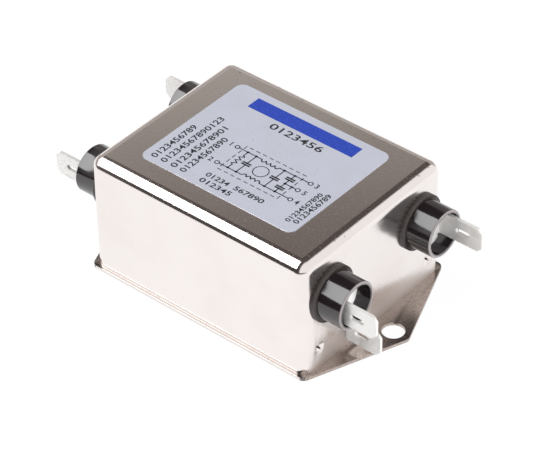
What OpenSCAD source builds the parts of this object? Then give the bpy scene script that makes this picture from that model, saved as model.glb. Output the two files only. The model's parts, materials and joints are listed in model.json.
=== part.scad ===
// Chassis mounting mains filter: a drawn steel can on an eared base plate,
// four insulated push-on terminals and an earth tab, with the filter circuit inside.
// X runs along the terminals, Z is up, and the underside of the base plate is at Z = 0.

/* [Can] */
// Length of the can, between the outsides of its end walls
can_l = 64; // [62:0.5:70]
// Width of the can, between the outsides of its long walls
can_w = 50; // [49:0.5:60]
// Height of the can above the base plate
can_h = 31.4; // [30:0.2:40]
// Sheet thickness of the can
can_t = 0.6; // [0.5:0.05:0.7]
// Outer radius of the drawn top edge and of the upright corners
can_r = 3; // [2:0.2:3.4]

/* [Base plate] */
// Sheet thickness of the base plate and of its lugs
plate_t = 0.8; // [0.6:0.1:1]
// How far the plate shows beyond the long walls of the can
plate_lip = 0.75; // [0.4:0.05:1.2]
// How far the tip of an ear reaches beyond the end wall
ear_l = 9.85; // [9.4:0.05:12]
// Distance of a mounting hole from the end wall
hole_out = 5.5; // [4.8:0.1:6]
// Radius of a mounting hole
hole_r = 2.75; // [2.2:0.05:3]
// Rounding of the tip of an ear
tip_r = 2; // [1:0.5:5]
// Rounding of the shoulders where the ears begin
shoulder_r = 2; // [1:0.25:2.5]
// Width of each lug that stands up inside an end wall
lug_w = 5.2; // [4.8:0.1:6]
// Height of each lug above the underside of the plate
lug_h = 9; // [8.5:0.25:9.5]
// Clearance between a lug and the wall in front of it
lug_gap = 0.1; // [0.05:0.05:0.2]

/* [Stakes] */
// Height of the stakes that lock the can to the lugs
stake_z = 6.1; // [5.8:0.1:6.4]
// Radius of the punch that presses a stake
stake_r = 2.4; // [2:0.1:2.5]
// Depth of a stake in the wall
stake_d = 0.7; // [0.4:0.05:0.75]
// Length of the slit that the punch shears open
slit_l = 2.4; // [2:0.1:2.6]
// Width of that slit
slit_w = 0.45; // [0.3:0.05:0.6]

/* [Bushes] */
// Distance of the terminal axes from the outsides of the long walls
term_in = 9; // [8.2:0.1:9.6]
// Depth of the terminal axes below the top of the can
term_down = 12.2; // [11:0.1:13]
// Outer radius of a bush's tube
bush_r = 6; // [5.9:0.05:6.4]
// How far a bush stands out from the end wall
bush_l = 7.5; // [6.5:0.25:9]
// Wall thickness of the tube
bush_t = 0.8; // [0.6:0.05:0.85]
// Depth of the recess inside the tube
recess_d = 4.6; // [4:0.1:5]
// How far the collar stands out from the tube
collar_out = 1; // [0.6:0.1:1.2]
// Thickness of the collar
collar_t = 1; // [0.6:0.1:1.4]
// Radius of the neck in the hole of the end wall
neck_r = 4.4; // [4:0.1:4.8]
// Thickness of the insulating washer inside the wall
washer_t = 1.5; // [1:0.1:1.8]
// Radius of that washer
washer_r = 6; // [5.6:0.1:6.4]

/* [Tabs] */
// Width of a push-on blade
blade_w = 6.3; // [5.8:0.05:6.35]
// Thickness of a blade
blade_t = 0.8; // [0.7:0.05:0.85]
// How far a blade stands out of its bush
blade_out = 8.2; // [7.8:0.1:9]
// Distance from the terminal axis to the middle of the blade
blade_off = 3.2; // [3.1:0.05:3.4]
// Length of the chamfers at a blade's tip
chamfer_l = 1.2; // [0.8:0.1:1.4]
// Width that each chamfer takes off a blade's tip
chamfer_w = 1.2; // [1:0.1:1.4]
// Length of the soldering slot
slot_l = 4; // [3.6:0.1:4.4]
// Width of the soldering slot
slot_w = 1.5; // [1.3:0.1:1.8]
// Distance from a blade's tip to its slot
slot_tip = 3.3; // [3:0.1:3.5]
// Inner bending radius of a tab
bend_r = 0.4; // [0.2:0.1:0.5]

/* [Rivets] */
// Radius of a terminal rivet's shank
rivet_r = 1.5; // [1.2:0.1:1.6]
// Radius of its head on the tab and on the inner lug
head_r = 2.2; // [2:0.05:2.4]
// Height of its heads
head_h = 0.8; // [0.6:0.1:0.9]
// Radial clearance round the shank
rivet_gap = 0.08; // [0.05:0.01:0.12]

/* [Earth tab] */
// Distance of the earth blade from the middle of the width
earth_y = 10.8; // [10.4:0.1:12]
// Height of the middle of the earth blade
earth_z = 6.4; // [6.2:0.1:7]
// How far the earth blade stands out from the end wall
earth_out = 10.4; // [9.8:0.1:11]
// Length of the foot that is riveted to the wall
foot_l = 7; // [6.6:0.1:7.6]
// Radius of the earth rivet's heads
earth_head_r = 1.9; // [1.7:0.05:2]
// Radius of the earth rivet's shank
earth_rivet_r = 1.2; // [1:0.05:1.3]

/* [Label] */
// Length of the label
label_l = 45; // [40:0.5:48]
// Width of the label
label_w = 36; // [30:0.5:38]
// Thickness of the label
label_t = 0.12; // [0.08:0.02:0.2]
// Corner radius of the label
label_r = 2; // [1:0.25:3]
// How far the label lies off the middle of the length
label_x = -0.5; // [-1:0.1:1]
// How far the label lies off the middle of the width
label_y = 0.7; // [-1:0.1:1]

/* [Circuit board] */
// Thickness of the insulating sheet on the plate
sheet_t = 0.4; // [0.3:0.05:0.6]
// Height of the spacers that carry the board
spacer_h = 8.3; // [8:0.1:9]
// Radius of a spacer
spacer_r = 2.5; // [2.2:0.1:2.8]
// Radius of the spacer's pin in the board
spacer_pin_r = 1.25; // [1:0.05:1.4]
// Height of that pin above the board
spacer_pin_h = 1; // [0.6:0.1:1.4]
// Thickness of the board
board_t = 1.6; // [1.2:0.1:1.8]
// Clearance between the board and the long walls of the can
board_side_gap = 2.4; // [2:0.1:3]
// Clearance between the board and the lugs at its ends
board_end_gap = 2; // [1.6:0.1:2.4]
// Distance of the spacers from the ends of the board
spacer_x_in = 6.5; // [6:0.1:7]
// Distance of the spacers from the sides of the board
spacer_y_in = 5; // [4.5:0.1:5.5]
// Radial clearance of pins and wires in the board
board_hole_gap = 0.1; // [0.05:0.01:0.15]

/* [Choke] */
// Outer radius of the ferrite core
core_r = 12; // [11:0.1:12.4]
// Radius of the core's bore
core_bore_r = 6.5; // [6:0.1:7]
// Height of the core
core_h = 10; // [8:0.2:11]
// Thickness of each winding on the core
wind_t = 1.2; // [0.8:0.1:1.4]
// Angle that each winding covers
wind_angle = 132; // [110:2:140]
// Clearance between the windings and the core
wind_gap = 0.05; // [0.03:0.01:0.1]
// Thickness of the choke's plastic base
base_t = 1.2; // [1:0.1:1.6]
// Radius of the choke's base
base_r = 13.6; // [13.4:0.1:14]
// Thickness of the divider in the core's bore
divider_t = 1.2; // [0.8:0.1:1.6]

/* [Capacitors and resistor] */
// Length of a line capacitor
xcap_l = 18; // [15:0.5:19]
// Thickness of a line capacitor
xcap_w = 6; // [5:0.25:6.5]
// Height of a line capacitor
xcap_h = 12; // [10:0.5:14]
// Distance of a line capacitor from the end of the board
xcap_in = 2.6; // [2.2:0.1:3]
// Radius of a line-to-earth disc capacitor
ycap_r = 4.5; // [4:0.1:4.8]
// Thickness of a disc capacitor
ycap_t = 4; // [3:0.1:4.4]
// Distance of the disc capacitors from the middle of the length
ycap_x = 13; // [12.2:0.1:13.4]
// Height of a disc capacitor above the board
ycap_up = 1.5; // [1:0.1:2]
// Distance between a disc capacitor's legs
ycap_pitch = 5; // [4.5:0.1:5.5]
// Radius of the resistor's body
res_r = 1.25; // [1:0.05:1.5]
// Length of the resistor's body
res_l = 6.5; // [6:0.1:7]
// Distance between the resistor's legs
res_pitch = 10; // [9.4:0.1:10.6]
// Height of the resistor's underside above the board
res_up = 0.5; // [0.3:0.1:0.8]
// Distance of the small components' centres from the sides of the board
small_y_in = 5.5; // [5.2:0.1:5.8]
// Radius of the component legs
leg_r = 0.3; // [0.25:0.01:0.35]

/* [Wires and lugs] */
// Thickness of the inner soldering lugs
tag_t = 0.5; // [0.4:0.05:0.6]
// Radius of the eye of a terminal's inner lug
tag_r = 3; // [2.8:0.1:3.4]
// Length of a lug's tail from the rivet's axis
tag_l = 6.4; // [6:0.1:6.6]
// Width of a lug's tail
tag_w = 2.6; // [2.2:0.1:3]
// Radius of the connecting wires
wire_r = 0.9; // [0.7:0.05:1]
// Radius of the bare conductor at a wire's ends
core_wire_r = 0.5; // [0.4:0.05:0.6]
// How far a wire runs inwards from its lug
wire_in = 2.4; // [2.2:0.1:2.6]
// Bare length of a wire at each end
bare_l = 0.8; // [0.6:0.1:1]

/* [Hidden] */

// Facets of the round surfaces, large, small and fine
fn_round = 96;
fn_small = 48;
// Overrun of every cut
over = 0.5;
// Clearance of the bush's neck in the hole of the wall
neck_gap = 0.1;
// How much shorter the neck is than the wall is thick
neck_short = 0.1;
// Rounding of the bush's mouth
mouth_r = 0.3;
// Clearance of a tab's foot in the bore of its bush
foot_gap = 0.3;
// Clearance between a stake's inner bulge and the eye of its lug
eye_gap = 0.15;
// Gap between the insulating sheet and what stands round it
sheet_gap = 0.4;
// Angle of the slit that a stake's punch shears
slit_turn = 45;
// Rounding of the lugs' corners
lug_r = 1;
// How far a lug reaches past the point where the can's upright corner begins to turn
lug_reach = 0.4;
// Height of the moulding's edges on a line capacitor
xcap_foot = 0.6;
xcap_foot_w = 1.2;
// End bulges of the resistor's body
res_bulge = 0.25;
res_bulge_l = 1.6;
// Standing height of the choke's divider above the core
divider_up = 1;
// Clearance of the divider in the bore between the windings
divider_gap = 0.1;
// Height of the boss that carries the divider
boss_h = 0.8;
boss_w = 3;

sides = [-1, 1];
// End of the can and side of the width on which each terminal stands
term_sides = [[-1, 1], [-1, -1], [1, 1], [1, -1]];

// The can
end_x = can_l / 2;
side_y = can_w / 2;
can_z = plate_t;
can_top = can_z + can_h;
term_y = side_y - term_in;
term_z = can_top - term_down;
lug_x = end_x - can_t - lug_gap;
lug_y = side_y - can_r + lug_reach - lug_w / 2;

// The plate's outline: a hexagon with its shoulders level with the can's corners
plate_y = side_y + plate_lip;
hole_x = end_x + hole_out;
tip_half_angle = atan(plate_y / ear_l);
tip_x = end_x + ear_l + tip_r * (1 / sin(tip_half_angle) - 1);
plate_points = [[tip_x, 0], [end_x, plate_y], [-end_x, plate_y],
                [-tip_x, 0], [-end_x, -plate_y], [end_x, -plate_y]];
plate_radii = [tip_r, shoulder_r, shoulder_r, tip_r, shoulder_r, shoulder_r];

// The terminal stack, measured outwards from the outside of the end wall
bore_r = bush_r - bush_t;
floor_h = bush_l - recess_d;
shank_hole_r = rivet_r + rivet_gap;
foot_r = bore_r - foot_gap;
blade_edge = blade_off + blade_t / 2;
bend_start = blade_edge - blade_t - bend_r;
wall_in = -can_t;
washer_in = wall_in - washer_t;
tag_in = washer_in - tag_t;
tab_l = recess_d + blade_out;

// The inside
sheet_z = plate_t + sheet_t;
board_z = sheet_z + spacer_h;
board_top = board_z + board_t;
board_l = 2 * (lug_x - plate_t - board_end_gap);
board_w = 2 * (side_y - can_t - board_side_gap);
spacer_x = board_l / 2 - spacer_x_in;
spacer_y = board_w / 2 - spacer_y_in;
small_y = board_w / 2 - small_y_in;
base_top = board_top + base_t;
core_z = base_top + wind_t;
xcap_x = board_l / 2 - xcap_in - xcap_w / 2;
res_x = -ycap_x;
res_z = board_top + res_up + res_r + res_bulge;
wire_x = end_x + tag_in - wire_in;
earth_rivet_y = -earth_y + (bend_r + foot_l) / 2;
tag_hole_in = tag_w / 2;
wire_z = term_z + tag_l - tag_hole_in;

// Centre and tangent points of the rounding at the corner b of the outline a, b, c
function unit(v) = v / norm(v);
function corner(a, b, c, r) =
    let (u = unit(a - b), v = unit(c - b), half = acos(u * v) / 2,
         run = r / tan(half), mid = unit(u + v))
    [b + u * run, b + mid * r / sin(half), b + v * run];
function corners(points, radii) =
    let (n = len(points))
    [for (i = [0:n - 1]) corner(points[(i + n - 1) % n], points[i], points[(i + 1) % n], radii[i])];

// A polygon whose corners are rounded with true arcs
module rounded_polygon(points, radii) {
    rounds = corners(points, radii);
    polygon([for (c = rounds) each [c[0], c[2]]]);
    for (i = [0:len(points) - 1])
        translate(rounds[i][1]) circle(r = radii[i], $fn = fn_round);
}

module rounded_rectangle(l, w, r) {
    square([l - 2 * r, w], center = true);
    square([l, w - 2 * r], center = true);
    for (sx = sides, sy = sides)
        translate([sx * (l / 2 - r), sy * (w / 2 - r)]) circle(r = r, $fn = fn_round);
}

// A block with round upright corners and a round top edge, open to any cut from below
module drawn_block(l, w, h, r) {
    linear_extrude(h - r) rounded_rectangle(l, w, r);
    translate([-l / 2 + r, -w / 2 + r, 0]) cube([l - 2 * r, w - 2 * r, h]);
    for (sy = sides)
        translate([-l / 2 + r, sy * (w / 2 - r), h - r])
            rotate([0, 90, 0]) cylinder(r = r, h = l - 2 * r, $fn = fn_round);
    for (sx = sides)
        translate([sx * (l / 2 - r), w / 2 - r, h - r])
            rotate([90, 0, 0]) cylinder(r = r, h = w - 2 * r, $fn = fn_round);
    for (sx = sides, sy = sides)
        translate([sx * (l / 2 - r), sy * (w / 2 - r), h - r]) sphere(r = r, $fn = fn_round);
}

// Places children at a terminal: X outwards from the wall, Y away from the middle
module at_terminal(i) {
    sx = term_sides[i][0];
    sy = term_sides[i][1];
    translate([sx * end_x, sy * term_y, term_z])
        mirror([sx < 0 ? 1 : 0, 0, 0])
        mirror([0, sy < 0 ? 1 : 0, 0])
        children();
}

// Places children at the four stakes: X outwards from the wall
module at_stakes() {
    for (turn = [0, 180], sy = sides)
        rotate([0, 0, turn]) translate([end_x, sy * lug_y, stake_z]) children();
}

// Places children at the earth rivet: X outwards from the wall
module at_earth() {
    translate([end_x, earth_rivet_y, earth_z]) children();
}

// A disc or rod along X from one place to another
module rod_x(from, to, r, fn = fn_small) {
    translate([from, 0, 0]) rotate([0, 90, 0]) cylinder(r = r, h = to - from, $fn = fn);
}

// A rivet's head: a low dome on a flat face, outwards or inwards along X
module dome_x(at, h, r, outwards) {
    ball = (r * r + h * h) / (2 * h);
    translate([at, 0, 0]) mirror([outwards ? 0 : 1, 0, 0])
        rotate([0, 90, 0]) rotate_extrude($fn = fn_round) intersection() {
            translate([0, h - ball]) circle(r = ball, $fn = fn_round);
            square([r + over, h]);
        }
}

module can() {
    color("gainsboro") difference() {
        union() {
            difference() {
                translate([0, 0, can_z]) drawn_block(can_l, can_w, can_h, can_r);
                translate([0, 0, can_z - over])
                    drawn_block(can_l - 2 * can_t, can_w - 2 * can_t, can_h - can_t + over, can_r - can_t);
            }
            at_stakes() stake_bulge();
        }
        at_stakes() stake_cut();
        for (i = [0:3]) at_terminal(i) rod_x(wall_in - over, over, neck_r + neck_gap, fn_round);
        at_earth() rod_x(wall_in - over, over, earth_rivet_r + rivet_gap);
    }
}

// The wall pressed inwards behind a stake
module stake_bulge() {
    intersection() {
        translate([stake_r - stake_d, 0, 0]) sphere(r = stake_r + can_t, $fn = fn_round);
        translate([-can_t - stake_d, -stake_r, -stake_r])
            cube([can_t / 2 + stake_d, 2 * stake_r, 2 * stake_r]);
    }
}

// The dimple of a stake and the slit through it
module stake_cut() {
    translate([stake_r - stake_d, 0, 0]) sphere(r = stake_r, $fn = fn_round);
    rotate([-slit_turn, 0, 0])
        translate([-can_t - stake_d - over, -slit_l / 2, -slit_w / 2])
        cube([can_t + stake_d + 2 * over, slit_l, slit_w]);
}

module base_plate() {
    bulge_r = sqrt(pow(stake_r + can_t, 2) - pow(stake_r - stake_d + can_t + lug_gap, 2));
    color("darkgray") difference() {
        union() {
            difference() {
                linear_extrude(plate_t) rounded_polygon(plate_points, plate_radii);
                for (sx = sides) translate([sx * hole_x, 0, -over])
                    cylinder(r = hole_r, h = plate_t + 2 * over, $fn = fn_round);
                for (sx = sides, sy = sides)
                    translate([sx * (lug_x - lug_h / 2), sy * lug_y, plate_t / 2])
                    cube([lug_h, lug_w, plate_t + 2 * over], center = true);
            }
            for (turn = [0, 180], sy = sides)
                rotate([0, 0, turn]) translate([lug_x, sy * lug_y, 0]) standing_lug();
        }
        at_stakes() rod_x(-can_t - lug_gap - plate_t - over, -can_t / 2, bulge_r + eye_gap);
    }
}

// A lug bent up from the plate, with its outer face at X = 0
module standing_lug() {
    intersection() {
        translate([0, lug_w / 2, 0]) rotate([90, 0, 0]) linear_extrude(lug_w) {
            translate([-plate_t, plate_t]) square([plate_t, lug_h - plate_t]);
            intersection() {
                translate([0, plate_t]) circle(r = plate_t, $fn = fn_small);
                translate([-plate_t, 0]) square(plate_t);
            }
        }
        translate([-plate_t, 0, 0]) rotate([90, 0, 90]) linear_extrude(plate_t) {
            translate([-lug_w / 2, 0]) square([lug_w, lug_h - lug_r]);
            translate([-lug_w / 2 + lug_r, 0]) square([lug_w - 2 * lug_r, lug_h]);
            for (sy = sides) translate([sy * (lug_w / 2 - lug_r), lug_h - lug_r])
                circle(r = lug_r, $fn = fn_small);
        }
    }
}

module label() {
    color("lightsteelblue") translate([label_x, label_y, can_top])
        linear_extrude(label_t) rounded_rectangle(label_l, label_w, label_r);
}

// The moulded bush: a collar on the wall, a tube with a recess, and a neck in the wall
module bush(i) {
    neck_in = wall_in + neck_short;
    color("#1b1a1c") at_terminal(i) rotate([0, 90, 0]) rotate_extrude($fn = fn_round) {
        difference() {
            union() {
                translate([0, neck_in]) square([neck_r, -neck_in + collar_t / 2]);
                square([bush_r + collar_out, collar_t]);
                square([bush_r, bush_l - mouth_r]);
                square([bush_r - mouth_r, bush_l]);
                translate([bush_r - mouth_r, bush_l - mouth_r]) circle(r = mouth_r, $fn = fn_small);
            }
            translate([0, neck_in - over]) square([shank_hole_r, bush_l]);
            translate([0, floor_h]) square([bore_r, recess_d + over]);
        }
    }
}

// The flat outline of a blade, its tip at X = l
module blade_outline(l, w) {
    difference() {
        polygon([[0, -w / 2], [l - chamfer_l, -w / 2], [l, -w / 2 + chamfer_w],
                 [l, w / 2 - chamfer_w], [l - chamfer_l, w / 2], [0, w / 2]]);
        for (x = [slot_tip + slot_w / 2, slot_tip + slot_l - slot_w / 2])
            translate([l - x, 0]) circle(r = slot_w / 2, $fn = fn_small);
        translate([l - slot_tip - slot_l + slot_w / 2, -slot_w / 2]) square([slot_l - slot_w, slot_w]);
    }
}

// The bent strip of a tab seen along its width: foot on Y from foot_end to edge, blade along X
module bent_strip(l, foot_end, edge) {
    outer = bend_r + blade_t;
    translate([outer, edge - blade_t]) square([l - outer, blade_t]);
    translate([0, foot_end]) square([blade_t, edge - outer - foot_end]);
    translate([outer, edge - outer]) intersection() {
        difference() {
            circle(r = outer, $fn = fn_small);
            circle(r = bend_r, $fn = fn_small);
        }
        translate([-outer, 0]) square(outer);
    }
}

// The blade's outline cut from that strip
module bent_blade(l, foot_end, edge) {
    intersection() {
        translate([0, 0, -blade_w / 2]) linear_extrude(blade_w) bent_strip(l, foot_end, edge);
        translate([0, foot_l, 0]) rotate([90, 0, 0]) linear_extrude(2 * foot_l) blade_outline(l, blade_w);
    }
}

// A terminal's tab: its round foot on the floor of the bush, its blade out of the mouth
module tab(i) {
    color("whitesmoke") at_terminal(i) translate([floor_h, 0, 0]) difference() {
        union() {
            intersection() {
                rod_x(0, blade_t, foot_r, fn_round);
                translate([-over, -foot_r - over, -foot_r - over])
                    cube([blade_t + 2 * over, foot_r + over + bend_start, 2 * (foot_r + over)]);
            }
            bent_blade(tab_l, 0, blade_edge);
        }
        rod_x(-over, blade_t + over, shank_hole_r);
    }
}

// One rivet through tab, bush, washer and inner lug at each terminal
module terminal_rivets() {
    color("silver") for (i = [0:3]) at_terminal(i) {
        rod_x(tag_in, floor_h + blade_t, rivet_r);
        dome_x(floor_h + blade_t, head_h, head_r, true);
        dome_x(tag_in, head_h, head_r, false);
    }
}

module inner_washers() {
    color("tan") for (i = [0:3]) at_terminal(i) difference() {
        rod_x(washer_in, wall_in, washer_r, fn_round);
        rod_x(washer_in - over, wall_in + over, shank_hole_r);
    }
}

// A soldering lug: an eye round the rivet and a tail with a hole, upwards
module soldering_lug(hole_r) {
    rotate([90, 0, 90]) linear_extrude(tag_t) difference() {
        union() {
            circle(r = tag_r, $fn = fn_small);
            translate([-tag_w / 2, 0]) square([tag_w, tag_l - tag_w / 2]);
            translate([0, tag_l - tag_w / 2]) circle(r = tag_w / 2, $fn = fn_small);
        }
        circle(r = hole_r, $fn = fn_small);
        translate([0, tag_l - tag_hole_in]) circle(r = core_wire_r + rivet_gap, $fn = fn_small);
    }
}

module lug(i) {
    color("silver") at_terminal(i) translate([tag_in, 0, 0]) soldering_lug(shank_hole_r);
}

// The earth tab: a foot flat on the end wall, and a blade that stands out from it
module earth_tab() {
    color("whitesmoke") difference() {
        translate([end_x, -earth_y, earth_z]) mirror([0, 1, 0])
            bent_blade(earth_out, blade_t / 2 - foot_l, blade_t / 2);
        at_earth() rod_x(-over, blade_t + over, earth_rivet_r + rivet_gap);
    }
}

module earth_rivet() {
    color("silver") at_earth() {
        rod_x(wall_in - tag_t, blade_t, earth_rivet_r);
        dome_x(blade_t, head_h, earth_head_r, true);
        dome_x(wall_in - tag_t, head_h, earth_head_r, false);
    }
}

// The inner earth lug lies along the wall, towards the middle of the width
module earth_lug() {
    color("silver") at_earth() translate([wall_in - tag_t, 0, 0])
        rotate([-90, 0, 0]) soldering_lug(earth_rivet_r + rivet_gap);
}

module insulating_sheet() {
    l = 2 * (lug_x - plate_t - sheet_gap);
    w = can_w - 2 * (can_t + sheet_gap);
    color("khaki") translate([-l / 2, -w / 2, plate_t]) cube([l, w, sheet_t]);
}

module at_spacers() {
    for (sx = sides, sy = sides) translate([sx * spacer_x, sy * spacer_y, 0]) children();
}

module board_spacers() {
    color("ivory") at_spacers() {
        translate([0, 0, sheet_z]) cylinder(r = spacer_r, h = spacer_h, $fn = fn_small);
        translate([0, 0, board_z]) cylinder(r = spacer_pin_r, h = board_t + spacer_pin_h, $fn = fn_small);
    }
}

module circuit_board() {
    color("darkgreen") difference() {
        translate([-board_l / 2, -board_w / 2, board_z]) cube([board_l, board_w, board_t]);
        at_spacers() translate([0, 0, board_z - over])
            cylinder(r = spacer_pin_r + board_hole_gap, h = board_t + 2 * over, $fn = fn_small);
    }
}

// The choke's base: a disc with a grooved boss that holds the divider upright
module choke_base() {
    boss_r = core_bore_r - wind_t - wind_gap - divider_gap;
    color("ivory") translate([0, 0, board_top]) difference() {
        union() {
            cylinder(r = base_r, h = base_t, $fn = fn_round);
            intersection() {
                cylinder(r = boss_r, h = base_t + boss_h, $fn = fn_small);
                translate([-boss_r, -boss_w / 2, 0]) cube([2 * boss_r, boss_w, base_t + boss_h]);
            }
        }
        translate([-base_r, -divider_t / 2, base_t])
            cube([2 * base_r, divider_t, boss_h + over]);
    }
}

module choke_core() {
    color("dimgray") translate([0, 0, core_z]) difference() {
        cylinder(r = core_r, h = core_h, $fn = fn_round);
        translate([0, 0, -over]) cylinder(r = core_bore_r, h = core_h + 2 * over, $fn = fn_round);
    }
}

module choke_divider() {
    half = core_bore_r - divider_gap;
    color("ivory") translate([-half, -divider_t / 2, base_top])
        cube([2 * half, divider_t, 2 * wind_t + core_h + divider_up]);
}

// A winding: a sleeve of wire round the core's section, over its share of the turn
module winding(side) {
    color("peru") translate([0, 0, core_z]) rotate([0, 0, side * 90 - wind_angle / 2])
        rotate_extrude(angle = wind_angle, $fn = fn_round) difference() {
            translate([core_bore_r - wind_gap - wind_t, -wind_t])
                square([core_r - core_bore_r + 2 * (wind_gap + wind_t), core_h + 2 * wind_t]);
            translate([core_bore_r - wind_gap, -wind_gap])
                square([core_r - core_bore_r + 2 * wind_gap, core_h + 2 * wind_gap]);
        }
}

// A boxed line capacitor across one end of the board, on two moulded feet
module line_capacitor(side) {
    color("goldenrod") translate([side * xcap_x, 0, board_top]) {
        translate([-xcap_w / 2, -xcap_l / 2, xcap_foot]) cube([xcap_w, xcap_l, xcap_h - xcap_foot]);
        for (sy = sides) translate([-xcap_w / 2, sy * (xcap_l - xcap_foot_w) / 2 - xcap_foot_w / 2, 0])
            cube([xcap_w, xcap_foot_w, xcap_foot]);
    }
}

// A coated disc capacitor that stands on two legs
module earth_capacitor(side) {
    z = board_top + ycap_up + ycap_r;
    color("steelblue") translate([ycap_x, side * small_y, 0]) {
        translate([0, 0, z]) rotate([0, 90, 0]) rotate_extrude($fn = fn_round) {
            translate([0, -ycap_t / 2]) square([ycap_r - ycap_t / 2, ycap_t]);
            intersection() {
                translate([ycap_r - ycap_t / 2, 0]) circle(r = ycap_t / 2, $fn = fn_small);
                translate([0, -ycap_t / 2]) square([ycap_r, ycap_t]);
            }
        }
        for (sy = sides) translate([0, sy * ycap_pitch / 2, board_top])
            cylinder(r = leg_r, h = ycap_up + ycap_r / 2, $fn = fn_small);
    }
}

// The bleed resistor lies between its two bent legs
module bleed_resistor() {
    color("burlywood") translate([res_x, small_y, res_z]) {
        rod_x(-res_l / 2, res_l / 2, res_r);
        for (sx = sides) rod_x(sx * (res_l - res_bulge_l) / 2 - res_bulge_l / 2,
                               sx * (res_l - res_bulge_l) / 2 + res_bulge_l / 2, res_r + res_bulge);
        rod_x(-res_pitch / 2, res_pitch / 2, leg_r);
        for (sx = sides) translate([sx * res_pitch / 2, 0, 0]) {
            sphere(r = leg_r, $fn = fn_small);
            translate([0, 0, board_top - res_z]) cylinder(r = leg_r, h = res_z - board_top, $fn = fn_small);
        }
    }
}

// A wire from a terminal's inner lug, inwards and down to the board
module lead_wire(i) {
    sx = term_sides[i][0];
    sy = term_sides[i][1];
    color("firebrick") translate([0, sy * term_y, 0]) mirror([sx < 0 ? 1 : 0, 0, 0]) {
        translate([0, 0, wire_z]) rod_x(wire_x, end_x + tag_in + tag_t, core_wire_r);
        translate([0, 0, wire_z]) rod_x(wire_x, end_x + tag_in - bare_l, wire_r);
        translate([wire_x, 0, wire_z]) sphere(r = wire_r, $fn = fn_small);
        translate([wire_x, 0, board_top + bare_l])
            cylinder(r = wire_r, h = wire_z - board_top - bare_l, $fn = fn_small);
        translate([wire_x, 0, board_top]) cylinder(r = core_wire_r, h = bare_l * 2, $fn = fn_small);
    }
}

// The earth wire runs from the inner earth lug, inwards and up to the board
module earth_wire() {
    color("yellowgreen") translate([0, earth_rivet_y + tag_l - tag_hole_in, 0]) {
        translate([0, 0, earth_z]) rod_x(wire_x, end_x + wall_in, core_wire_r);
        translate([0, 0, earth_z]) rod_x(wire_x, end_x + wall_in - tag_t - bare_l, wire_r);
        translate([wire_x, 0, earth_z]) {
            sphere(r = wire_r, $fn = fn_small);
            cylinder(r = wire_r, h = board_z - earth_z - bare_l, $fn = fn_small);
            cylinder(r = core_wire_r, h = board_z - earth_z, $fn = fn_small);
        }
    }
}

can();
base_plate();
label();
bush(0);  // bush_1
bush(1);  // bush_2
bush(2);  // bush_3
bush(3);  // bush_4
tab(0);  // tab_1
tab(1);  // tab_2
tab(2);  // tab_3
tab(3);  // tab_4
terminal_rivets();
inner_washers();
lug(0);  // lug_1
lug(1);  // lug_2
lug(2);  // lug_3
lug(3);  // lug_4
earth_tab();
earth_rivet();
earth_lug();
earth_wire();
insulating_sheet();
board_spacers();
circuit_board();
choke_base();
choke_core();
choke_divider();
winding(sides[0]);  // winding_1
winding(sides[1]);  // winding_2
line_capacitor(sides[0]);  // line_capacitor_1
line_capacitor(sides[1]);  // line_capacitor_2
earth_capacitor(sides[0]);  // earth_capacitor_1
earth_capacitor(sides[1]);  // earth_capacitor_2
bleed_resistor();
lead_wire(0);  // lead_wire_1
lead_wire(1);  // lead_wire_2
lead_wire(2);  // lead_wire_3
lead_wire(3);  // lead_wire_4
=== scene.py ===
# Looks of a chassis mounting mains filter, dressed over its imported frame. Lengths are in metres.
import json
import math

import bpy
from mathutils import Matrix, Vector

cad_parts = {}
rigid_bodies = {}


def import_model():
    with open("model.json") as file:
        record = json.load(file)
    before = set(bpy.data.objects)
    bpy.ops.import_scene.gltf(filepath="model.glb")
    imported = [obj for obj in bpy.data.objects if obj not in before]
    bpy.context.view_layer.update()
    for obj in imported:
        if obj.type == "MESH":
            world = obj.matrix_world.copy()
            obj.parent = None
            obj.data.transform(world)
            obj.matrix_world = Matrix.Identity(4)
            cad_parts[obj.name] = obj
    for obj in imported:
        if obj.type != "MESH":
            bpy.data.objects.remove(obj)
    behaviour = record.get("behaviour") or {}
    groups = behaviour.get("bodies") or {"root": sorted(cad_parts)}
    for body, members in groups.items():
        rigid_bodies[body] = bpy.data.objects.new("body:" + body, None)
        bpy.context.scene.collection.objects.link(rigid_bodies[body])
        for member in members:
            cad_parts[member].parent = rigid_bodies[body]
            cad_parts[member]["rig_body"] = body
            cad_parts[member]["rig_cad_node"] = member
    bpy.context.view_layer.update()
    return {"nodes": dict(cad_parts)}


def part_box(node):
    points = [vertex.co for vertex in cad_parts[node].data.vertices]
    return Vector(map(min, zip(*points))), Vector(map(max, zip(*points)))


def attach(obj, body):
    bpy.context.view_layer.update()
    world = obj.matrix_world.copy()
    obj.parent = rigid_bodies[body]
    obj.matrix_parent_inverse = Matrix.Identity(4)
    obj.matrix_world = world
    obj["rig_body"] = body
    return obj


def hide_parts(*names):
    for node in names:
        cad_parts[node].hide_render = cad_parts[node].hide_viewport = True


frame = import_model()
nodes = frame["nodes"]
mm = 0.001


# a socket of a shader tree that can be written in sums and products
class Value:
    def __init__(self, tree, socket):
        self.tree, self.socket = tree, socket

    def math(self, operation, *others, **settings):
        return self.tree.add("ShaderNodeMath", dict(operation=operation, **settings), [self, *others])

    def __add__(self, other):
        return self.math("ADD", other)

    def __sub__(self, other):
        return self.math("SUBTRACT", other)

    def __rsub__(self, other):
        return self.tree.add("ShaderNodeMath", {"operation": "SUBTRACT"}, [other, self])

    def __mul__(self, other):
        return self.math("MULTIPLY", other)

    __radd__, __rmul__ = __add__, __mul__

    def above(self, limit, soft):
        # 0 below the limit and 1 above it, over a soft step
        return self.tree.add("ShaderNodeMapRange", {"interpolation_type": "SMOOTHSTEP"},
                             {0: self, 1: limit - soft, 2: limit + soft}, 0)


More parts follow.
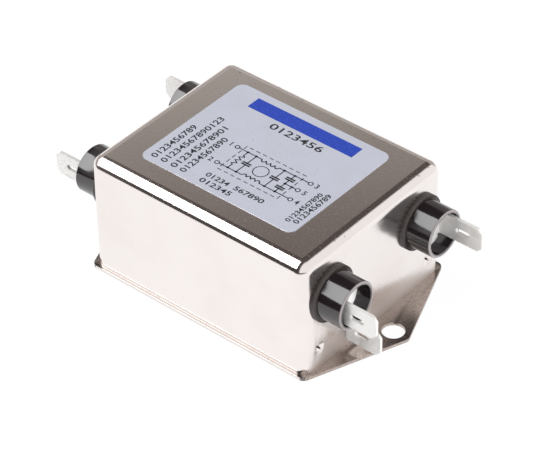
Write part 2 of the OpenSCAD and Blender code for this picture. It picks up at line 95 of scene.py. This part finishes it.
# the node tree of one material or of the world
class Tree:
    def __init__(self, owner):
        owner.use_nodes = True
        self.nodes, self.links = owner.node_tree.nodes, owner.node_tree.links
        self.nodes.clear()

    def add(self, kind, settings=None, inputs=(), output=0):
        node = self.nodes.new(kind)
        for name, value in (settings or {}).items():
            if name == "stops":
                setStops(node.color_ramp, value)
            else:
                setattr(node, name, value)
        for key, value in (inputs.items() if isinstance(inputs, dict) else enumerate(inputs)):
            if isinstance(value, Value):
                self.links.new(value.socket, node.inputs[key])
            elif value is not None:
                node.inputs[key].default_value = value
        return Value(self, node.outputs[output]) if node.outputs else node

    def mix(self, factor, low, high):
        return self.add("ShaderNodeMix", {"data_type": "RGBA"},
                        {0: factor, 6: colour(low), 7: colour(high)}, 2)


def colour(value):
    return value if isinstance(value, Value) else (*value[:3], 1.0)


def setStops(ramp, stops):
    while len(ramp.elements) < len(stops):
        ramp.elements.new(0.5)
    for element, (place, shade) in zip(ramp.elements, stops):
        element.position, element.color = place, colour(shade)


def material(name, **fixed):
    # a material with a Principled shader whose even values are set on its own sockets
    made = bpy.data.materials.new(name)
    tree = Tree(made)
    shader = tree.add("ShaderNodeBsdfPrincipled")
    tree.add("ShaderNodeOutputMaterial", None, {"Surface": shader})
    tree.shader = shader.socket.node
    for socket, value in fixed.items():
        tree.shader.inputs[socket.replace("_", " ")].default_value = value
    tree.place = tree.add("ShaderNodeTexCoord", output="Object")
    return made, tree


def feed(tree, socket, value):
    tree.links.new(value.socket, tree.shader.inputs[socket])


def noise(tree, scale, detail=3.0, roughness=0.55, distortion=0.0, place=None):
    return tree.add("ShaderNodeTexNoise", {"noise_dimensions": "3D"},
                    {"Vector": place or tree.place, "Scale": scale, "Detail": detail,
                     "Roughness": roughness, "Distortion": distortion})


def bump(tree, height, distance, strength=1.0, under=None):
    return tree.add("ShaderNodeBump", None, {"Strength": strength, "Distance": distance,
                                             "Height": height, "Normal": under})


def axes(tree):
    return [tree.add("ShaderNodeSeparateXYZ", None, [tree.place], k) for k in range(3)]


def beyond(axis, limit, soft):
    # 1 farther out than the limit on both sides of the middle
    return axis.math("ABSOLUTE").above(limit, soft)


print("materials")

# scales are features per metre, heights and depths are in metres
steelLook = {
    "colour": (0.905, 0.850, 0.830),
    "stain": (0.875, 0.815, 0.790),
    "stainScale": 55.0,
    "roughness": 0.12,
    "roughnessSpread": 0.06,
    # the sheet's slow waves and the plating's fine grain
    "waveScale": 38.0,
    "waveHeight": 0.000030,
    "grainScale": 1500.0,
    "grainHeight": 0.0000022,
    # tiny pits in the plating, which sparkle where the rest reflects something dark
    "pitScale": 2300.0,
    "pitDepth": 0.0000060,
    "pitsFrom": 0.67,
    # the pattern of the pits also dulls the colour, but hardly ever reaches this limit on the can
    "dullColour": (0.60, 0.55, 0.52),
    "dullFrom": 0.90,
    # the two end walls are a little rougher than the rest, and most so low down
    "endFrom": 31.7 * mm,
    "endRoughness": 0.065,
    "lowTo": 5.5 * mm,
    "lowRoughness": 0.30,
    # the plate's long lips beside the can are painted dark, as painted shade along the foot of the wall in
    # place of their reflection, and their sheared edges bright
    "lipPaintedShade": (0.205, 0.196, 0.192),
    "lipFrom": 25.06 * mm,
    "edgeColour": (0.82, 0.77, 0.75),
    "edgeFrom": 25.70 * mm,
    # small dark specks, which gather on the upper face
    "speckScale": 1400.0,
    "speckColour": (0.45, 0.41, 0.38),
    "speckRoughness": 0.3,
    "speckFrom": 31.4 * mm,
}


def platedSteel(name, look):
    made, tree = material(name, Metallic=1.0)
    along, across, height = axes(tree)
    cloudy = noise(tree, look["stainScale"], 4.0, 0.6)
    fine = noise(tree, look["grainScale"], 3.0, 0.6)
    pits = noise(tree, look["pitScale"], 2.0, 0.5)
    specks = noise(tree, look["speckScale"], 1.0, 0.4).above(0.73, 0.02)
    specks = specks * height.above(look["speckFrom"], 0.3 * mm)
    base = tree.mix(cloudy.above(0.58, 0.14), look["colour"], look["stain"])
    base = tree.mix(specks, base, look["speckColour"])
    base = tree.mix(pits.above(look["dullFrom"], 0.14), base, look["dullColour"])
    # painted shade: the lips beside the can take a dark colour instead of showing their reflection
    base = tree.mix(beyond(across, look["lipFrom"], 0.04 * mm), base, look["lipPaintedShade"])
    base = tree.mix(beyond(across, look["edgeFrom"], 0.03 * mm), base, look["edgeColour"])
    feed(tree, "Base Color", base)
    low = 1.0 - height.above(look["lowTo"], 3.5 * mm)
    ends = beyond(along, look["endFrom"], 0.15 * mm) * (low * look["lowRoughness"] + look["endRoughness"])
    feed(tree, "Roughness", cloudy * look["roughnessSpread"] + specks * look["speckRoughness"] + ends
         + (look["roughness"] - look["roughnessSpread"] / 2))
    waves = bump(tree, noise(tree, look["waveScale"], 1.0, 0.4), look["waveHeight"])
    pitted = bump(tree, 1.0 - pits.above(look["pitsFrom"], 0.05), look["pitDepth"], 1.0, waves)
    feed(tree, "Normal", bump(tree, fine, look["grainHeight"], 1.0, pitted))
    return made


# the plate's steel is painted darker and browner than the can's, as painted shade for the dim, brownish
# reflections it shows low down beside the can
plateShadedLook = dict(steelLook, colour=(0.53, 0.465, 0.43), stain=(0.40, 0.33, 0.285), roughness=0.20,
                 roughnessSpread=0.16, grainHeight=0.0000060, pitDepth=0.000010, pitsFrom=0.60,
                 dullColour=(0.36, 0.30, 0.26), dullFrom=0.56, endRoughness=0.0, lowRoughness=0.0)

plasticLook = {
    "colour": (0.011, 0.007, 0.009),
    "roughness": 0.08,
    "waveHeight": 0.000003,
    "grainHeight": 0.0000018,
    # the rim round the mouth is painted pale, partly a matte cut edge and partly a painted highlight where
    # it catches the soft box, and the collar at the wall is rough and grained
    "rim": (0.290, 0.260, 0.265),
    "rimFrom": 39.30 * mm,
    "rimRoughness": 0.25,
    "collar": (0.020, 0.010, 0.008),
    "collarTo": 33.15 * mm,
    "collarRoughness": 0.34,
    "collarGrain": 5.0,
}


def bushPlastic(name, look):
    made, tree = material(name, Specular_IOR_Level=1.0)
    along = axes(tree)[0]
    rim = beyond(along, look["rimFrom"], 0.12 * mm)
    collar = 1.0 - beyond(along, look["collarTo"], 0.10 * mm)
    cloud = noise(tree, 420.0, 3.0)
    body = tree.mix(collar, look["colour"], look["collar"])
    # painted highlight: the rim takes a pale grey colour
    feed(tree, "Base Color", tree.mix(rim * (cloud * 0.5 + 0.75), body, look["rim"]))
    feed(tree, "Roughness", cloud * 0.08 + rim * look["rimRoughness"] + collar * look["collarRoughness"]
         + look["roughness"])
    grain = noise(tree, 2600.0, 2.0) * (collar * look["collarGrain"] + 1.0)
    waves = bump(tree, noise(tree, 180.0, 2.0, 0.5), look["waveHeight"])
    feed(tree, "Normal", bump(tree, grain, look["grainHeight"], 1.0, waves))
    return made


tinLook = {
    "colour": (0.80, 0.785, 0.77),
    "worn": (0.70, 0.68, 0.65),
    "roughness": 0.42,
    "metallic": 0.3,
    "scuffSpread": 0.16,
    "scuffDepth": 0.000004,
    "foot": (0.96, 0.95, 0.94),
    "footRoughness": 0.26,
    "footMetallic": 0.05,
    "footTo": 36.4 * mm,
}


def tinPlate(name, look):
    # blades are handled and duller, and the feet in the mouths are painted near white, as painted light in
    # their shaded recesses
    made, tree = material(name)
    blade = beyond(axes(tree)[0], look["footTo"], 0.2 * mm)
    stretched = tree.add("ShaderNodeMapping", None, {"Vector": tree.place, "Scale": (0.12, 1.0, 1.0)})
    scuffs = noise(tree, 900.0, 4.0, 0.6, 0.4, stretched)
    cloudy = noise(tree, 260.0, 3.0)
    worn = tree.mix(cloudy.above(0.62, 0.10), look["colour"], look["worn"])
    # painted light: the feet take a near-white, barely metallic colour
    feed(tree, "Base Color", tree.mix(blade, look["foot"], worn))
    feed(tree, "Metallic", blade * (look["metallic"] - look["footMetallic"]) + look["footMetallic"])
    feed(tree, "Roughness", blade * (look["roughness"] - look["footRoughness"])
         + scuffs * look["scuffSpread"] + (look["footRoughness"] - look["scuffSpread"] / 2))
    feed(tree, "Normal", bump(tree, scuffs, look["scuffDepth"]))
    return made


labelLook = {
    "foil": (0.560, 0.580, 0.670),
    "foilShade": (0.535, 0.555, 0.637),
    "speck": (0.46, 0.48, 0.54),
    "roughness": 0.34,
    "roughnessSpread": 0.14,
    "grainHeight": 0.000002,
}


def labelFoil(name, look):
    made, tree = material(name, Metallic=0.2)
    cloudy = noise(tree, 120.0, 4.0, 0.6)
    specks = noise(tree, 1300.0, 1.0, 0.3).above(0.74, 0.03)
    base = tree.mix(cloudy.above(0.5, 0.2), look["foil"], look["foilShade"])
    feed(tree, "Base Color", tree.mix(specks, base, look["speck"]))
    feed(tree, "Roughness", cloudy * look["roughnessSpread"]
         + (look["roughness"] - look["roughnessSpread"] / 2))
    feed(tree, "Normal", bump(tree, noise(tree, 2600.0, 2.0), look["grainHeight"]))
    return made


def ink(name, shade, roughness=0.38):
    made, tree = material(name)
    cover = noise(tree, 3200.0, 2.0, 0.6)
    feed(tree, "Base Color", tree.mix(cover.above(0.62, 0.12), shade, [c * 1.5 + 0.02 for c in shade]))
    feed(tree, "Roughness", cover * 0.2 + (roughness - 0.1))
    return made


# what is sealed inside: colour, second colour, size of the pattern per metre, roughness, metallic
innerLooks = {
    "lugTin": ((0.78, 0.77, 0.74), (0.62, 0.60, 0.56), 500.0, 0.30, 1.0),
    "washerBoard": ((0.36, 0.24, 0.12), (0.27, 0.17, 0.08), 700.0, 0.60, 0.0),
    "insulatingFilm": ((0.72, 0.62, 0.40), (0.66, 0.55, 0.34), 200.0, 0.35, 0.0),
    "nylon": ((0.80, 0.78, 0.70), (0.74, 0.72, 0.63), 300.0, 0.45, 0.0),
    "boardLaminate": ((0.05, 0.22, 0.10), (0.08, 0.27, 0.12), 1200.0, 0.38, 0.0),
    "ferrite": ((0.06, 0.06, 0.06), (0.10, 0.10, 0.10), 1500.0, 0.55, 0.0),
    "filmCapacitor": ((0.70, 0.52, 0.08), (0.62, 0.45, 0.06), 300.0, 0.32, 0.0),
    "discCapacitor": ((0.06, 0.22, 0.50), (0.04, 0.17, 0.42), 250.0, 0.25, 0.0),
    "resistorBody": ((0.60, 0.47, 0.30), (0.52, 0.40, 0.24), 600.0, 0.35, 0.0),
    "leadInsulation": ((0.35, 0.03, 0.03), (0.28, 0.02, 0.02), 400.0, 0.42, 0.0),
    "earthInsulation": ((0.45, 0.55, 0.05), (0.36, 0.46, 0.04), 400.0, 0.42, 0.0),
}


def innerMaterial(name, look):
    first, second, scale, roughness, metallic = look
    made, tree = material(name, Metallic=metallic)
    mottle = noise(tree, scale, 4.0, 0.6)
    feed(tree, "Base Color", tree.mix(mottle, first, second))
    feed(tree, "Roughness", mottle * 0.2 + (roughness - 0.1))
    feed(tree, "Normal", bump(tree, mottle, 0.00001))
    return made


def woundCopper(name, wires=120.0):
    # fine bands of enamelled wire that run up and down round the core's section
    made, tree = material(name, Metallic=1.0)
    x, y, z = axes(tree)
    turn = tree.add("ShaderNodeMath", {"operation": "ARCTAN2"}, [y, x])
    bands = (turn * wires).math("SINE")
    shade = noise(tree, 350.0, 3.0)
    feed(tree, "Base Color", tree.mix(shade, (0.60, 0.24, 0.09), (0.45, 0.15, 0.05)))
    feed(tree, "Roughness", shade * 0.15 + 0.22)
    feed(tree, "Normal", bump(tree, bands, 0.00025))
    return made


canSteel = platedSteel("canSteel", steelLook)
# the plate's steel carries painted shade in its darker colours
plateSteelPaintedShade = platedSteel("plateSteelPaintedShade", plateShadedLook)
blackPlastic = bushPlastic("bushPlastic", plasticLook)
tabTin = tinPlate("tabTin", tinLook)
rivetSteel = tinPlate("rivetSteel", dict(tinLook, colour=(0.78, 0.77, 0.75), metallic=1.0))
foil = labelFoil("labelFoil", labelLook)
blackInk = ink("blackInk", (0.020, 0.020, 0.028))
blueInk = ink("blueInk", (0.012, 0.046, 0.375), 0.42)
inner = {name: innerMaterial(name, look) for name, look in innerLooks.items()}
inner["copperWire"] = woundCopper("copperWire")

print("shown nodes")


def setMaterial(piece, made):
    piece.data.materials.clear()
    piece.data.materials.append(made)


def selectOnly(piece):
    bpy.ops.object.select_all(action="DESELECT")
    piece.select_set(True)
    bpy.context.view_layer.objects.active = piece


def applyModifier(piece, kind, **settings):
    selectOnly(piece)
    added = piece.modifiers.new(kind.title(), kind)
    for name, value in settings.items():
        setattr(added, name, value)
    bpy.ops.object.modifier_apply(modifier=added.name)


def dress(node, name, made, sharp=35.0):
    # a smooth-shaded copy of a node's mesh, whose flat faces keep their own direction
    selectOnly(nodes[node])
    bpy.ops.object.duplicate()
    piece = bpy.context.view_layer.objects.active
    piece.name = piece.data.name = name
    piece.parent = None
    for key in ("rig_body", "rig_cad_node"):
        if key in piece:
            del piece[key]
    bpy.ops.object.mode_set(mode="EDIT")
    bpy.ops.mesh.select_all(action="SELECT")
    bpy.ops.mesh.remove_doubles(threshold=1e-7)
    bpy.ops.object.mode_set(mode="OBJECT")
    bpy.ops.object.shade_smooth_by_angle(angle=math.radians(sharp))
    applyModifier(piece, "WEIGHTED_NORMAL", keep_sharp=True, mode="FACE_AREA_WITH_ANGLE")
    setMaterial(piece, made)
    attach(piece, "root")
    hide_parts(node)
    return piece


dress("can", "canShell", canSteel)
dress("base_plate", "basePlate", plateSteelPaintedShade)
dress("label", "labelSheet", foil)
for number in range(1, 5):
    dress(f"bush_{number}", f"bush{number}", blackPlastic)
    dress(f"tab_{number}", f"tab{number}", tabTin)
dress("terminal_rivets", "terminalRivets", rivetSteel)
dress("earth_tab", "earthTab", tabTin)
dress("earth_rivet", "earthRivet", rivetSteel)

innerNodes = {
    "lugTin": ["lug_1", "lug_2", "lug_3", "lug_4", "earth_lug"],
    "washerBoard": ["inner_washers"],
    "insulatingFilm": ["insulating_sheet"],
    "nylon": ["board_spacers", "choke_base", "choke_divider"],
    "boardLaminate": ["circuit_board"],
    "ferrite": ["choke_core"],
    "copperWire": ["winding_1", "winding_2"],
    "filmCapacitor": ["line_capacitor_1", "line_capacitor_2"],
    "discCapacitor": ["earth_capacitor_1", "earth_capacitor_2"],
    "resistorBody": ["bleed_resistor"],
    "leadInsulation": ["lead_wire_1", "lead_wire_2", "lead_wire_3", "lead_wire_4"],
    "earthInsulation": ["earth_wire"],
}
for look, names in innerNodes.items():
    for node in names:
        setMaterial(nodes[node], inner[look])

print("label print")

# the width of a line and the height of a figure are in millimetres on the label
printing = {
    "lift": 0.012 * mm,
    "thickness": 0.012 * mm,
    "line": 0.27,
    "thin": 0.8,
    "bold": 1.7,
    "digitHeight": 1.5,
    "heightOfFont": 0.70,
    "boldness": 0.035 * mm,
}
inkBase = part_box("label")[1][2] + printing["lift"]
inkMiddle = inkBase + printing["thickness"] / 2
printed = []


def inkBox(centre, size, turn=0.0):
    bpy.ops.object.select_all(action="DESELECT")
    bpy.ops.mesh.primitive_cube_add(size=1, location=(*centre[:2], inkMiddle), rotation=(0, 0, turn))
    piece = bpy.context.object
    piece.scale = (size[0], size[1], printing["thickness"])
    bpy.ops.object.transform_apply(location=True, rotation=True, scale=True)
    return piece


def inkLine(points, width=None):
    # straight strokes from point to point, in millimetres on the label
    width = (width or printing["line"]) * mm
    for start, end in zip(points, points[1:]):
        a, b = Vector(start) * mm, Vector(end) * mm
        run = b - a
        printed.append(inkBox((a + b) / 2, (run.length + width, width), math.atan2(run.y, run.x)))


def inkRing(centre, radius):
    # an open terminal circle
    count = 20
    turns = [2 * math.pi * k / count for k in range(count + 1)]
    inkLine([(centre[0] + radius * math.cos(t), centre[1] + radius * math.sin(t)) for t in turns],
            printing["line"] * printing["thin"])


def inkDot(centre):
    bpy.ops.object.select_all(action="DESELECT")
    bpy.ops.mesh.primitive_cylinder_add(vertices=16, radius=diagram["dotRadius"] * mm,
                                        depth=printing["thickness"],
                                        location=(centre[0] * mm, centre[1] * mm, inkMiddle))
    bpy.ops.object.transform_apply(location=True, rotation=True, scale=True)
    printed.append(bpy.context.object)


def inkDigits(digits, place, tall, turn=0.0, length=None):
    # plain figures in millimetres: centred on the place, or started there and stretched to a length
    bpy.ops.object.select_all(action="DESELECT")
    bpy.ops.object.text_add()
    piece = bpy.context.object
    piece.data.body = digits
    piece.data.align_x, piece.data.align_y = ("LEFT" if length else "CENTER"), "CENTER"
    piece.data.size = tall * mm / printing["heightOfFont"]
    piece.data.offset = printing["boldness"]
    piece.data.extrude = printing["thickness"] / 2
    piece.data.resolution_u = 3
    bpy.ops.object.convert(target="MESH")
    piece = bpy.context.object
    piece.scale.x = length * mm / piece.dimensions.x if length else 1.0
    piece.rotation_euler.z = math.radians(turn)
    piece.location = (place[0] * mm, place[1] * mm, inkBase)
    bpy.ops.object.transform_apply(location=True, rotation=True, scale=True)
    printed.append(piece)


def joined(pieces, name, made):
    bpy.ops.object.select_all(action="DESELECT")
    for piece in pieces:
        piece.select_set(True)
    bpy.context.view_layer.objects.active = pieces[0]
    bpy.ops.object.join()
    piece = bpy.context.object
    piece.name = piece.data.name = name
    setMaterial(piece, made)
    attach(piece, "root")
    return piece


# the wiring diagram, in millimetres on the label
diagram = {
    # the two rails' heights and the places along them
    "rails": (-0.85, -8.05),
    "rings": (-7.5, 14.1),
    "resistor": -4.35,
    "capacitors": (-1.85, 6.5),
    "choke": (-0.2, 5.0),
    "earthCapacitors": 9.55,
    "earthRing": 13.3,
    # the marks
    "ringRadius": 0.55,
    "dotRadius": 0.34,
    "coreCircle": ((2.5, -4.5), 1.9),
    "plateHalf": 1.0,
    "plateGap": 0.32,
    "earthPlatesOut": 1.85,
    "resistorHalf": 2.0,
    "resistorSwing": 0.55,
    "resistorBends": 6,
    "chokeHumps": 4,
    "chokeSwing": 0.7,
    # the dashed frame's left, low, right and high sides
    "frame": (-5.95, -9.65, 11.6, 0.65),
    "dash": 1.0,
}
upper, lower = diagram["rails"]
middle = (upper + lower) / 2


def zigzag(x, low, high, swing, count):
    step = (high - low) / count
    return ([(x, low)] + [(x + swing * (1 if k % 2 else -1), low + step * (k + 0.5)) for k in range(count)]
            + [(x, high)])


def plates(x, y):
    half, gap = diagram["plateHalf"], diagram["plateGap"]
    for side in (-1, 1):
        inkLine([(x - half, y + side * gap), (x + half, y + side * gap)],
                printing["line"] * printing["bold"])


def coil(start, end, y, humps, swing):
    points, count = [], humps * 6
    for k in range(count + 1):
        share = k / count
        points.append((start + (end - start) * share, y + swing * abs(math.sin(math.pi * humps * share))))
    return points


def dashes(start, end):
    a, b = Vector(start), Vector(end)
    count = max(1, round((b - a).length / (2 * diagram["dash"])))
    for k in range(count):
        inkLine([a + (b - a) * (k / count), a + (b - a) * ((k + 0.5) / count)],
                printing["line"] * printing["thin"])


first, last = diagram["rings"]
radius, gap = diagram["ringRadius"], diagram["plateGap"]
for rail, outward in ((upper, 1), (lower, -1)):
    inkLine([(first + radius, rail), (diagram["choke"][0], rail)])
    inkLine(coil(*diagram["choke"], rail, diagram["chokeHumps"], -diagram["chokeSwing"] * outward))
    inkLine([(diagram["choke"][1], rail), (last - radius, rail)])
    inkRing((first, rail), radius)
    inkRing((last, rail), radius)
    x = diagram["earthCapacitors"]
    y = middle + outward * diagram["earthPlatesOut"]
    plates(x, y)
    inkLine([(x, rail), (x, y + outward * gap)])
    inkLine([(x, middle), (x, y - outward * gap)])
    for x in (diagram["resistor"], *diagram["capacitors"], diagram["earthCapacitors"]):
        inkDot((x, rail))
x, half = diagram["resistor"], diagram["resistorHalf"]
bends = zigzag(x, middle - half, middle + half, diagram["resistorSwing"], diagram["resistorBends"])
inkLine([(x, lower), *bends, (x, upper)])
for x in diagram["capacitors"]:
    plates(x, middle)
    inkLine([(x, lower), (x, middle - gap)])
    inkLine([(x, middle + gap), (x, upper)])
inkRing(*diagram["coreCircle"])
inkDot((diagram["earthCapacitors"], middle))
inkLine([(diagram["earthCapacitors"], middle), (diagram["earthRing"] - radius, middle)])
inkRing((diagram["earthRing"], middle), radius)
left, low, right, high = diagram["frame"]
inkDot((right, middle))
for start, end in (((left, low), (right, low)), ((right, low), (right, high)),
                   ((right, high), (left, high)), ((left, high), (left, low))):
    dashes(start, end)
for digit, place in (("1", (first - 1.9, upper)), ("2", (first - 1.95, lower)), ("3", (last + 1.8, upper)),
                     ("4", (last + 1.85, lower)), ("5", (diagram["earthRing"] + 1.9, middle))):
    inkDigits(digit, place, printing["digitHeight"])

# rows of plain figures: the text, where it starts, its length along the row, height and turn
figures = [
    ("0123456789", (-20.2, -15.7), 14.8, 1.7, 90),
    ("01234567890123", (-17.3, -15.7), 21.0, 1.7, 90),
    ("012345678901", (-14.3, -15.7), 18.7, 1.7, 90),
    ("01234567890", (-11.5, -15.7), 15.6, 1.7, 90),
    ("01234", (-6.6, -12.8), 6.6, 1.5, 0),
    ("567890", (1.5, -12.7), 8.5, 1.5, 0),
    ("012345", (-6.5, -15.15), 9.1, 1.5, 0),
    ("0123456", (-7.0, 10.1), 15.4, 2.1, 0),
    ("01234567890", (18.4, -14.5), 12.3, 1.3, 90),
    ("0123456789", (20.2, -13.9), 12.5, 1.5, 90),
]
for digits, place, length, tall, turn in figures:
    inkDigits(digits, place, tall, turn, length)

labelPrint = joined(printed, "labelDiagram", blackInk)

# the blank band, in millimetres on the label
band = {"centre": (-0.3, 14.45), "size": (31.0, 4.05), "round": 0.005}
bandPiece = inkBox(Vector(band["centre"]) * mm, (band["size"][0] * mm, band["size"][1] * mm))
bandPiece.name = bandPiece.data.name = "labelBand"
applyModifier(bandPiece, "BEVEL", width=band["round"] * mm, segments=2)
setMaterial(bandPiece, blueInk)
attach(bandPiece, "root")

print("studio")

studio = {
    "floorSize": 6.0,
    "floorShade": (0.93, 0.93, 0.93),
    # how much of the floor glows instead of being lit, to the camera and to gloss
    "floorGlow": (0.94, 0.90),
    "glowStrength": 1.02,
    # the paper ends in front of the object, which draws the dark line along the front edge
    "paperFront": -0.140,
    "worldDiffuse": 0.30,
    "domeRadius": 3.0,
    # what gloss sees in the room, against the sine of the elevation: white paper low, a dark room above
    "sweep": [(0.40, (0.96, 0.95, 0.94)), (0.583, (0.40, 0.375, 0.350)), (0.645, (0.150, 0.128, 0.118)),
              (0.720, (0.075, 0.062, 0.058)), (1.0, (0.100, 0.085, 0.080))],
    # where the sweep starts behind the object, and what is in front of that
    "behindFrom": (0.10, 0.20),
    "frontRoom": (0.060, 0.050, 0.047),
    # the far left and the far back are dim, which softens the can's two far edges
    "farRoom": (0.430, 0.400, 0.380),
    "farFrom": (0.60, 0.69),
    "rightRoom": (0.930, 0.920, 0.910),
    "rightFrom": (0.28, 0.10),
    # the soft box's direction from the object, the way its long side runs, distance, sides and power
    "boxDirection": (-0.50, -0.468, 0.73),
    "boxRun": (0.0, 0.823, 0.568),
    "boxDistance": 1.30,
    "boxSides": (0.90, 1.50),
    "boxPower": 18.0,
    # a second lamp on the right, out of the reflections, that fills the mouths of the bushes
    "fillPlace": (1.10, 0.15, 0.45),
    "fillSide": 0.80,
    "fillPower": 13.0,
}


def onlyForGloss(piece):
    for name in ("visible_camera", "visible_diffuse", "visible_shadow", "visible_transmission"):
        setattr(piece, name, False)


bpy.ops.object.select_all(action="DESELECT")
bpy.ops.mesh.primitive_plane_add(size=studio["floorSize"], location=(0, 0, 0))
floor = bpy.context.object
floor.name = "floor"
made = bpy.data.materials.new("floorPaper")
tree = Tree(made)
ray = tree.nodes.new("ShaderNodeLightPath")
seen = [Value(tree, ray.outputs[name]) for name in ("Is Camera Ray", "Is Glossy Ray")]
paper = tree.add("ShaderNodeBsdfDiffuse", None, {"Color": colour(studio["floorShade"])})
glow = tree.add("ShaderNodeEmission", None, {"Color": (1, 1, 1, 1),
                                                  "Strength": studio["glowStrength"]})
share = seen[0] * studio["floorGlow"][0] + seen[1] * studio["floorGlow"][1]
both = tree.add("ShaderNodeMixShader", None, [share, paper, glow])
tree.place = tree.add("ShaderNodeTexCoord", output="Object")
gone = seen[1] * (1.0 - axes(tree)[1].above(studio["paperFront"], 0.02))
shade = tree.add("ShaderNodeEmission", None, {"Color": colour(studio["frontRoom"])})
both = tree.add("ShaderNodeMixShader", None, [gone, both, shade])
tree.add("ShaderNodeOutputMaterial", None, {"Surface": both})
setMaterial(floor, made)

# the room round the object, which only its gloss sees
bpy.ops.object.select_all(action="DESELECT")
bpy.ops.mesh.primitive_uv_sphere_add(segments=96, ring_count=48, radius=studio["domeRadius"])
dome = bpy.context.object
dome.name = "roomDome"
bpy.ops.object.shade_smooth()
made = bpy.data.materials.new("room")
tree = Tree(made)
tree.place = tree.add("ShaderNodeTexCoord", output="Object")
toRight, toBack, up = (axis * (1 / studio["domeRadius"]) for axis in axes(tree))
sweep = tree.add("ShaderNodeValToRGB", {"stops": studio["sweep"]}, [up])
room = tree.mix(toBack.above(*studio["behindFrom"]), studio["frontRoom"], sweep)
farLeft, farBack = ((toRight * -1.0).above(studio["farFrom"][0], 0.05),
                    toBack.above(studio["farFrom"][1], 0.05))
room = tree.mix(farLeft.math("MAXIMUM", farBack), room, studio["farRoom"])
room = tree.mix(toRight.above(*studio["rightFrom"]), room, studio["rightRoom"])
tree.add("ShaderNodeOutputMaterial", None,
         {"Surface": tree.add("ShaderNodeEmission", None, {"Color": room})})
setMaterial(dome, made)
onlyForGloss(dome)

# a white world, which lights surfaces only in part
world = bpy.data.worlds.new("studioWorld")
bpy.context.scene.world = world
tree = Tree(world)
ray = tree.nodes.new("ShaderNodeLightPath")
seen = [Value(tree, ray.outputs[name]) for name in ("Is Camera Ray", "Is Glossy Ray", "Is Transmission Ray")]
direct = (seen[0] + seen[1] + seen[2]).math("MINIMUM", 1.0)
strength = direct * (1.0 - studio["worldDiffuse"]) + studio["worldDiffuse"]
tree.add("ShaderNodeOutputWorld", None,
         {"Surface": tree.add("ShaderNodeBackground", None, {"Color": (1, 1, 1, 1), "Strength": strength})})


def areaLamp(name, power, sides):
    bpy.ops.object.select_all(action="DESELECT")
    bpy.ops.object.light_add(type="AREA")
    made = bpy.context.object
    made.name = name
    made.data.shape = "RECTANGLE"
    made.data.size, made.data.size_y = sides
    made.data.energy = power
    return made


# one tall soft box from above the left, whose reflection lights the front edge and the bushes
away = Vector(studio["boxDirection"]).normalized()
along = Vector(studio["boxRun"])
along = (along - away * along.dot(away)).normalized()
across = along.cross(away)
lamp = areaLamp("softBox", studio["boxPower"], studio["boxSides"])
lamp.matrix_world = (Matrix.Translation(away * studio["boxDistance"])
                     @ Matrix((across, along, away)).transposed().to_4x4())

lamp = areaLamp("fillBox", studio["fillPower"], (studio["fillSide"], studio["fillSide"]))
lamp.location = studio["fillPlace"]
lamp.rotation_euler = Vector(studio["fillPlace"]).to_track_quat("Z", "Y").to_euler()
lamp.visible_glossy = False

print("camera")

# angles in degrees, and the focal length, the picture's centre and its size in pixels
view = {
    "azimuth": 40.379, "elevation": 39.075, "roll": -0.912,
    "aside": -4.021 * mm, "up": 0.675 * mm, "distance": 632.389 * mm, "height": 15 * mm,
    "focal": 2732.84, "centre": (283.787, 219.977), "picture": (540, 450),
}
azimuth, elevation, roll = (math.radians(view[k]) for k in ("azimuth", "elevation", "roll"))
ahead = Vector((-math.sin(azimuth) * math.cos(elevation), math.cos(azimuth) * math.cos(elevation),
                -math.sin(elevation)))
level = ahead.cross(Vector((0, 0, 1))).normalized()
upright = level.cross(ahead)
right = level * math.cos(roll) + upright * math.sin(roll)
top = upright * math.cos(roll) - level * math.sin(roll)
place = (Vector((0, 0, view["height"])) - right * view["aside"] - top * view["up"]
         - ahead * view["distance"])
bpy.ops.object.camera_add()
camera = bpy.context.object
turned = Matrix((right, top, -ahead)).transposed().to_4x4()
camera.matrix_world = Matrix.Translation(place) @ turned
width, height = view["picture"]
camera.data.sensor_width = 36.0
camera.data.lens = view["focal"] / width * camera.data.sensor_width
camera.data.shift_x = (width / 2 - view["centre"][0]) / width
camera.data.shift_y = (view["centre"][1] - height / 2) / width
camera.data.clip_start, camera.data.clip_end = 0.01, 20.0
bpy.context.scene.camera = camera

bpy.context.scene.view_settings.view_transform = "Standard"
